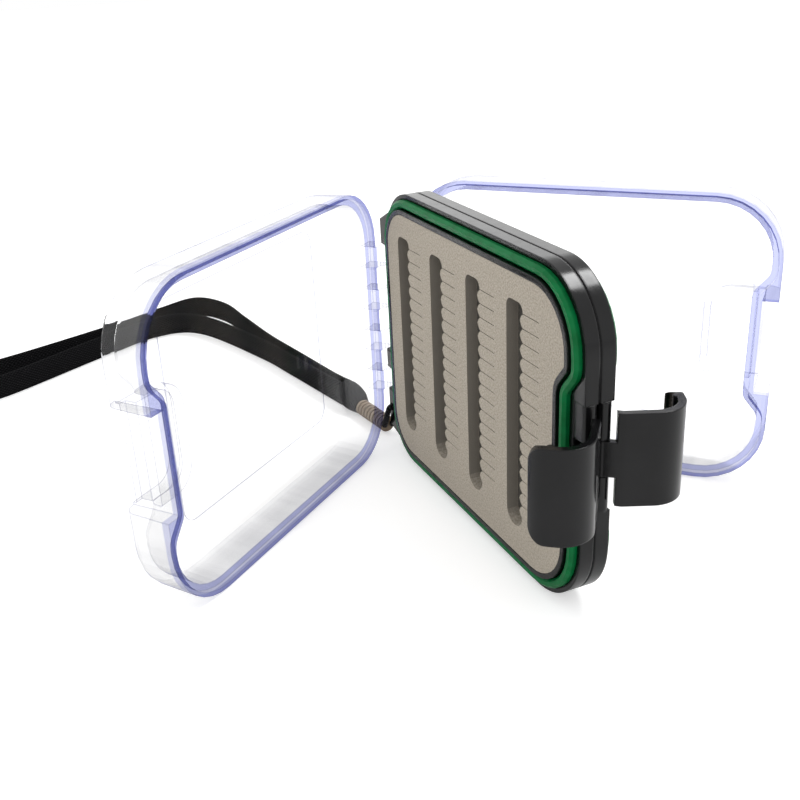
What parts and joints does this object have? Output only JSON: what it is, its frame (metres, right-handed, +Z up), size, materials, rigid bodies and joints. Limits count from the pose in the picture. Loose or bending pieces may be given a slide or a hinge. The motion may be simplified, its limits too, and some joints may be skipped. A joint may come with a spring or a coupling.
{
  "type": "fly box",
  "caption": "Double-sided fly box standing open, with slit foam on both faces of a black frame, clear hinged lids, swinging latches and a neck lanyard.",
  "frame": {"origin": "middle of the frame's lower edge, in the plane where its two halves meet, on the surface that the box stands on", "axes": "+X from the hinge side to the latch side, +Y from the front face to the back face, +Z up"},
  "size_m": [0.2566, 0.2929, 0.078],
  "materials": {
    "black_plastic": "satin",
    "clear_plastic": "gloss",
    "green_rubber": "satin",
    "taupe_foam": "matte",
    "dark_foam": "matte",
    "pin_steel": "brushed",
    "tan_plastic": "matte",
    "black_cord": "matte"
  },
  "bodies": {
    "frame": {"frame_front_half": "black_plastic", "frame_back_half": "black_plastic", "seal_front": "green_rubber", "seal_back": "green_rubber", "backing_front": "dark_foam", "backing_back": "dark_foam", "foam_front": "taupe_foam", "foam_back": "taupe_foam", "hinge_pin_front": "pin_steel", "hinge_pin_back": "pin_steel", "latch_pin_front": "pin_steel", "latch_pin_back": "pin_steel", "lanyard_cord": "black_cord", "lanyard_sleeve": "tan_plastic", "lanyard_knot": "black_cord", "lanyard_strand_upper": "black_cord", "lanyard_strand_lower": "black_cord", "lanyard_coil": "black_cord"},
    "lid_front": {"lid_front": "clear_plastic"},
    "lid_back": {"lid_back": "clear_plastic"},
    "latch_front": {"latch_front": "black_plastic"},
    "latch_back": {"latch_back": "black_plastic"}
  },
  "joints": [
    {"name": "lid_front_hinge", "type": "hinge", "parent": "frame", "child": "lid_front", "pos_m": [-0.0524, -0.00175, 0.039], "axis": [0, 0, 1], "range_deg": [-38.9, 51.1]},
    {"name": "lid_back_hinge", "type": "hinge", "parent": "frame", "child": "lid_back", "pos_m": [-0.0524, 0.00175, 0.039], "axis": [0, 0, 1], "range_deg": [-42.5, 47.5]},
    {"name": "latch_front_pivot", "type": "hinge", "parent": "frame", "child": "latch_front", "pos_m": [0.0473, -0.00175, 0.039], "axis": [0, 0, 1], "range_deg": [-51, 19]},
    {"name": "latch_back_pivot", "type": "hinge", "parent": "frame", "child": "latch_back", "pos_m": [0.0473, 0.00175, 0.039], "axis": [0, 0, 1], "range_deg": [-45, 25]}
  ]
}
